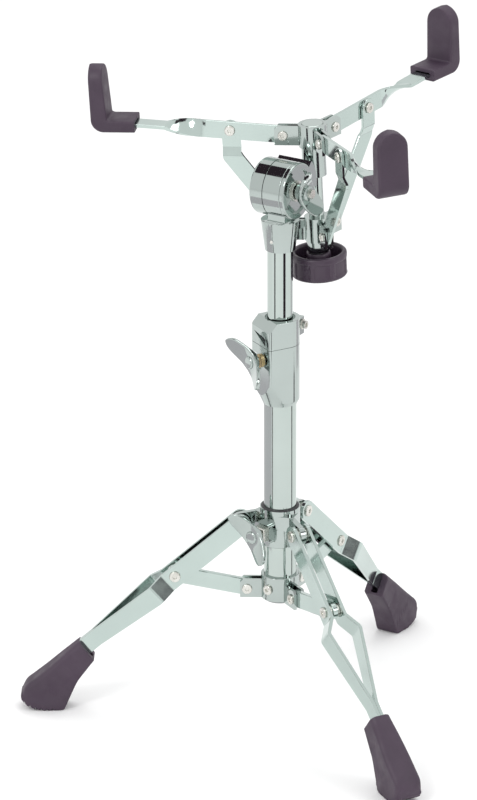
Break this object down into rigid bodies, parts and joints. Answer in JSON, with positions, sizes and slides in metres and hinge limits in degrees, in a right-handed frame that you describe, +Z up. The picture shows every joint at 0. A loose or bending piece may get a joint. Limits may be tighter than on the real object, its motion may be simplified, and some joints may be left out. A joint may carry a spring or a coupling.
{
  "type": "snare drum stand",
  "caption": "Folding double-braced tripod stand with a telescoping column, a tilter and a three-arm basket that a ring nut closes round a snare drum.",
  "frame": {"origin": "on the floor, on the axis of the column tubes", "axes": "+Z up the column, +X to the right and +Y to the back with the front leg towards -Y"},
  "size_m": [0.3887, 0.4109, 0.598],
  "materials": {
    "chrome_tube": "polished chrome plate on drawn tube",
    "chrome_strap": "chrome plate on pressed strip",
    "chrome_casting": "chrome plate on die casting",
    "zinc_hardware": "bright zinc",
    "brass": "turned brass",
    "rubber": "moulded matt rubber",
    "knob_plastic": "moulded phenolic, satin",
    "black_plastic": "moulded nylon"
  },
  "bodies": {
    "base": {"base_tube": "chrome_tube", "tube_end_cap": "black_plastic", "lower_collar": "chrome_casting", "lower_collar_screw": "zinc_hardware", "strut_rivets": "zinc_hardware", "height_clamp": "chrome_casting", "clamp_insert": "brass", "column_bush": "black_plastic"},
    "leg_carriage": {"leg_collar": "chrome_casting", "leg_collar_bush": "black_plastic", "leg_collar_nut": "zinc_hardware", "leg_spacers": "zinc_hardware"},
    "leg_wing_bolt": {"leg_wing": "chrome_casting", "leg_wing_screw": "zinc_hardware"},
    "height_wing_bolt": {"height_wing": "chrome_casting", "height_wing_screw": "zinc_hardware"},
    "memory_lock": {"memory_lock": "chrome_casting", "memory_lock_bolt": "zinc_hardware"},
    "column": {"upper_tube": "chrome_tube", "tilter_base": "chrome_casting", "tilter_base_pin": "zinc_hardware"},
    "head": {"tilter_yoke": "chrome_casting", "tilter_bolt": "zinc_hardware", "tilter_washer": "zinc_hardware", "basket_post": "chrome_tube", "basket_hub": "chrome_casting", "hub_rivets": "zinc_hardware"},
    "tilter_wing": {"tilter_wing_nut": "chrome_casting"},
    "spider": {"lower_spider": "chrome_casting", "spider_rivets": "zinc_hardware"},
    "knob": {"knob": "knob_plastic"},
    "leg_left": {"leg_left_straps": "chrome_strap", "leg_left_rivets": "zinc_hardware", "foot_left": "rubber"},
    "strut_left": {"strut_left": "chrome_strap", "strut_left_spacers": "zinc_hardware"},
    "leg_front": {"leg_front_straps": "chrome_strap", "leg_front_rivets": "zinc_hardware", "foot_front": "rubber"},
    "strut_front": {"strut_front": "chrome_strap", "strut_front_spacers": "zinc_hardware"},
    "leg_right": {"leg_right_straps": "chrome_strap", "leg_right_rivets": "zinc_hardware", "foot_right": "rubber"},
    "strut_right": {"strut_right": "chrome_strap", "strut_right_spacers": "zinc_hardware"},
    "arm_left": {"arm_left": "chrome_strap", "arm_left_rivet": "zinc_hardware", "cup_left": "rubber"},
    "brace_left": {"brace_left": "chrome_strap"},
    "arm_front": {"arm_front": "chrome_strap", "arm_front_rivet": "zinc_hardware", "cup_front": "rubber"},
    "brace_front": {"brace_front": "chrome_strap"},
    "arm_right": {"arm_right": "chrome_strap", "arm_right_rivet": "zinc_hardware", "cup_right": "rubber"},
    "brace_right": {"brace_right": "chrome_strap"}
  },
  "joints": [
    {"name": "collar_slide", "type": "slide", "parent": "base", "child": "leg_carriage", "axis": [0, 0, 1], "range_m": [0, 0.075]},
    {"name": "leg_left_fold", "type": "hinge", "parent": "leg_carriage", "child": "leg_left", "pos_m": [-0.03439, 0.0006, 0.1784], "axis": [-0.0175, -0.9998, 0], "range_deg": [0, 40.04]},
    {"name": "strut_left_fold", "type": "hinge", "parent": "base", "child": "strut_left", "pos_m": [-0.0289, 0.0005, 0.1166], "axis": [0.0175, 0.9998, 0], "range_deg": [0, 62.91]},
    {"name": "leg_front_fold", "type": "hinge", "parent": "leg_carriage", "child": "leg_front", "pos_m": [0.01668, -0.03009, 0.1784], "axis": [0.8746, 0.4848, 0], "range_deg": [0, 40.04]},
    {"name": "strut_front_fold", "type": "hinge", "parent": "base", "child": "strut_front", "pos_m": [0.01401, -0.02528, 0.1166], "axis": [-0.8746, -0.4848, 0], "range_deg": [0, 62.91]},
    {"name": "leg_right_fold", "type": "hinge", "parent": "leg_carriage", "child": "leg_right", "pos_m": [0.01772, 0.02949, 0.1784], "axis": [-0.8572, 0.515, 0], "range_deg": [0, 40.04]},
    {"name": "strut_right_fold", "type": "hinge", "parent": "base", "child": "strut_right", "pos_m": [0.01488, 0.02477, 0.1166], "axis": [0.8572, -0.515, 0], "range_deg": [0, 62.91]},
    {"name": "leg_wing_turn", "type": "hinge", "parent": "leg_carriage", "child": "leg_wing_bolt", "pos_m": [-0.02007, -0.02229, 0.175], "axis": [-0.6691, -0.7431, 0], "continuous": true},
    {"name": "height_wing_turn", "type": "hinge", "parent": "base", "child": "height_wing_bolt", "pos_m": [-0.02012, -0.01115, 0.333], "axis": [-0.8746, -0.4848, 0], "continuous": true},
    {"name": "height_slide", "type": "slide", "parent": "base", "child": "column", "axis": [0, 0, 1], "range_m": [0, 0.1]},
    {"name": "memory_lock_slide", "type": "slide", "parent": "column", "child": "memory_lock", "axis": [0, 0, 1], "range_m": [0, 0.015]},
    {"name": "basket_tilt", "type": "hinge", "parent": "column", "child": "head", "pos_m": [0, 0, 0.487], "axis": [0.848, -0.5299, 0], "range_deg": [-3, 80]},
    {"name": "tilter_wing_turn", "type": "hinge", "parent": "head", "child": "tilter_wing", "pos_m": [0.01552, -0.0097, 0.487], "axis": [0.848, -0.5299, 0], "continuous": true},
    {"name": "spider_slide", "type": "slide", "parent": "head", "child": "spider", "axis": [-0.0481, -0.0275, 0.9985], "range_m": [-0.005, 0.011]},
    {"name": "knob_turn", "type": "hinge", "parent": "spider", "child": "knob", "pos_m": [0.03358, 0.02871, 0.40941], "axis": [-0.0481, -0.0275, 0.9985], "range_deg": [-905, 1985]},
    {"name": "arm_left_lift", "type": "hinge", "parent": "head", "child": "arm_left", "pos_m": [0.00293, 0.02971, 0.52514], "axis": [0.1648, 0.9857, 0.0351], "range_deg": [-6.95, 14.93]},
    {"name": "brace_left_swing", "type": "hinge", "parent": "spider", "child": "brace_left", "pos_m": [0.01041, 0.03151, 0.43942], "axis": [0.1648, 0.9857, 0.0351], "range_deg": [-0.8, 1.4]},
    {"name": "arm_front_lift", "type": "hinge", "parent": "head", "child": "arm_front", "pos_m": [0.03684, 0.00169, 0.526], "axis": [-0.9356, -0.3489, -0.0547], "range_deg": [-6.95, 14.93]},
    {"name": "brace_front_swing", "type": "hinge", "parent": "spider", "child": "brace_front", "pos_m": [0.03978, 0.00725, 0.44016], "axis": [-0.9356, -0.3489, -0.0547], "range_deg": [-0.8, 1.4]},
    {"name": "arm_right_lift", "type": "hinge", "parent": "head", "child": "arm_right", "pos_m": [0.04409, 0.04506, 0.52754], "axis": [0.7707, -0.6368, 0.0195], "range_deg": [-6.95, 14.93]},
    {"name": "brace_right_swing", "type": "hinge", "parent": "spider", "child": "brace_right", "pos_m": [0.04607, 0.04481, 0.4415], "axis": [0.7707, -0.6368, 0.0195], "range_deg": [-0.8, 1.4]}
  ],
  "couplings": [
    {"joint": "leg_left_fold", "follows": "collar_slide", "rad_per_m": 9.201},
    {"joint": "strut_left_fold", "follows": "collar_slide", "rad_per_m": 14.524},
    {"joint": "leg_front_fold", "follows": "collar_slide", "rad_per_m": 9.201},
    {"joint": "strut_front_fold", "follows": "collar_slide", "rad_per_m": 14.524},
    {"joint": "leg_right_fold", "follows": "collar_slide", "rad_per_m": 9.201},
    {"joint": "strut_right_fold", "follows": "collar_slide", "rad_per_m": 14.524},
    {"joint": "knob_turn", "follows": "spider_slide", "rad_per_m": 3141.6},
    {"joint": "arm_left_lift", "follows": "spider_slide", "rad_per_m": 23.213},
    {"joint": "brace_left_swing", "follows": "spider_slide", "rad_per_m": 1.7453},
    {"joint": "arm_front_lift", "follows": "spider_slide", "rad_per_m": 23.213},
    {"joint": "brace_front_swing", "follows": "spider_slide", "rad_per_m": 1.7453},
    {"joint": "arm_right_lift", "follows": "spider_slide", "rad_per_m": 23.213},
    {"joint": "brace_right_swing", "follows": "spider_slide", "rad_per_m": 1.7453}
  ]
}
